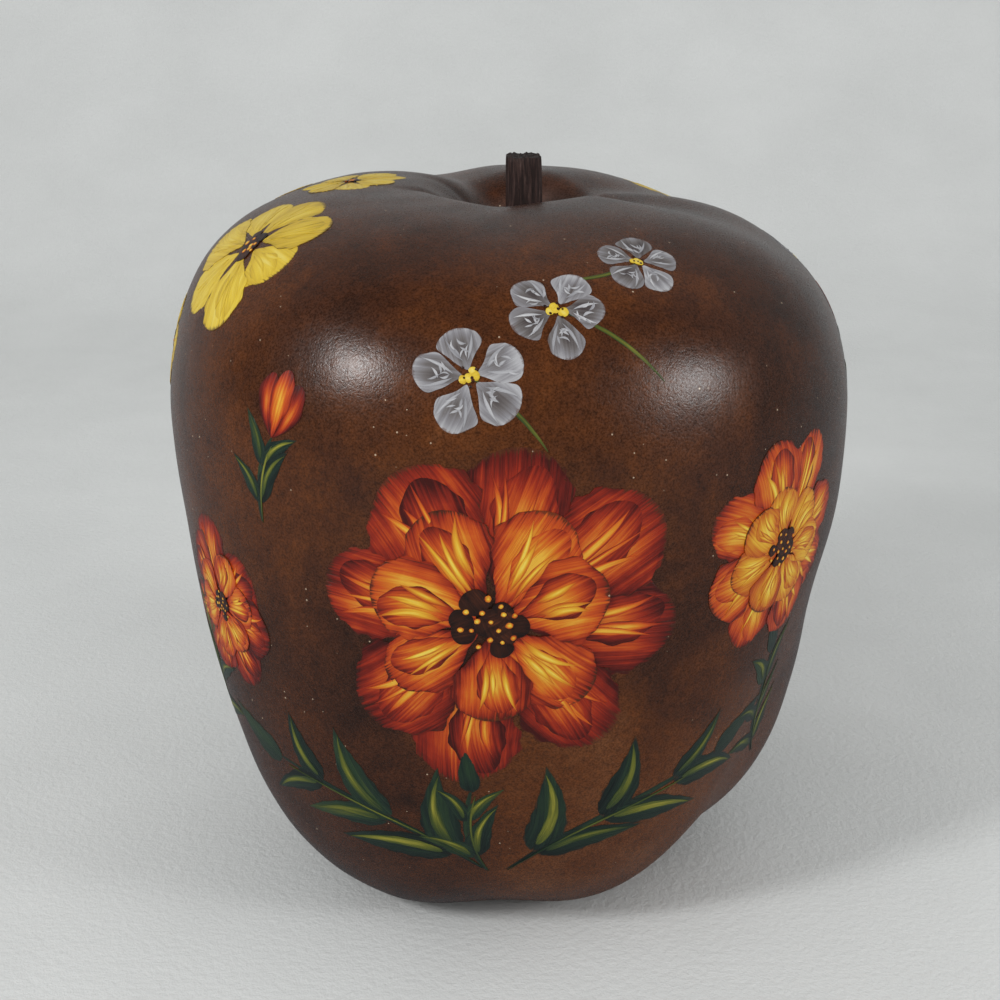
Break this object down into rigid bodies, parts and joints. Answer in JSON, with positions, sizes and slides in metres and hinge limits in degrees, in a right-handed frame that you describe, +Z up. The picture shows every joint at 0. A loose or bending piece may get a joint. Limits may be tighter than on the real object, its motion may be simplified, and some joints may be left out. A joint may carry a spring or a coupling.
{
  "type": "painted gourd",
  "caption": "Whole dried apple gourd with its stem on, stained and hand painted, hollow, with dried pulp and seeds inside, standing on its own feet.",
  "frame": {"origin": "centre of the bounding box on the floor that the feet stand on", "axes": "+Z up along the fruit from its feet to its stem; -Y is the pictured front; +X is the front's right"},
  "size_m": [0.1801, 0.18, 0.1985],
  "materials": {
    "rind": "stained and varnished, satin",
    "pulp": "dry, papery",
    "stem_wood": "stained, dry",
    "cork": "matt",
    "seed_coat": "dull"
  },
  "bodies": {
    "gourd": {"gourd_shell": "rind", "pulp_lining": "pulp", "stem": "stem_wood", "blossom_scar": "cork", "pulp_core": "pulp", "pulp_lobe_1": "pulp", "pulp_lobe_2": "pulp", "pulp_lobe_3": "pulp", "seed_1_left_1": "seed_coat", "seed_1_left_2": "seed_coat", "seed_1_left_3": "seed_coat", "seed_1_left_4": "seed_coat", "seed_1_left_5": "seed_coat", "seed_1_left_6": "seed_coat", "seed_1_right_1": "seed_coat", "seed_1_right_2": "seed_coat", "seed_1_right_3": "seed_coat", "seed_1_right_4": "seed_coat", "seed_1_right_5": "seed_coat", "seed_1_right_6": "seed_coat", "seed_2_left_1": "seed_coat", "seed_2_left_2": "seed_coat", "seed_2_left_3": "seed_coat", "seed_2_left_4": "seed_coat", "seed_2_left_5": "seed_coat", "seed_2_left_6": "seed_coat", "seed_2_right_1": "seed_coat", "seed_2_right_2": "seed_coat", "seed_2_right_3": "seed_coat", "seed_2_right_4": "seed_coat", "seed_2_right_5": "seed_coat", "seed_2_right_6": "seed_coat", "seed_3_left_1": "seed_coat", "seed_3_left_2": "seed_coat", "seed_3_left_3": "seed_coat", "seed_3_left_4": "seed_coat", "seed_3_left_5": "seed_coat", "seed_3_left_6": "seed_coat", "seed_3_right_1": "seed_coat", "seed_3_right_2": "seed_coat", "seed_3_right_3": "seed_coat", "seed_3_right_4": "seed_coat", "seed_3_right_5": "seed_coat", "seed_3_right_6": "seed_coat"},
    "loose_seed_1": {"loose_seed_1": "seed_coat"},
    "loose_seed_2": {"loose_seed_2": "seed_coat"},
    "loose_seed_3": {"loose_seed_3": "seed_coat"},
    "loose_seed_4": {"loose_seed_4": "seed_coat"},
    "loose_seed_5": {"loose_seed_5": "seed_coat"},
    "loose_seed_6": {"loose_seed_6": "seed_coat"}
  },
  "joints": [
    {"name": "loose_seed_1_hop", "type": "slide", "parent": "gourd", "child": "loose_seed_1", "axis": [0, 0, 1], "range_m": [0, 0.025]},
    {"name": "loose_seed_2_hop", "type": "slide", "parent": "gourd", "child": "loose_seed_2", "axis": [0, 0, 1], "range_m": [0, 0.025]},
    {"name": "loose_seed_3_hop", "type": "slide", "parent": "gourd", "child": "loose_seed_3", "axis": [0, 0, 1], "range_m": [0, 0.025]},
    {"name": "loose_seed_4_hop", "type": "slide", "parent": "gourd", "child": "loose_seed_4", "axis": [0, 0, 1], "range_m": [0, 0.025]},
    {"name": "loose_seed_5_hop", "type": "slide", "parent": "gourd", "child": "loose_seed_5", "axis": [0, 0, 1], "range_m": [0, 0.025]},
    {"name": "loose_seed_6_hop", "type": "slide", "parent": "gourd", "child": "loose_seed_6", "axis": [0, 0, 1], "range_m": [0, 0.025]}
  ]
}
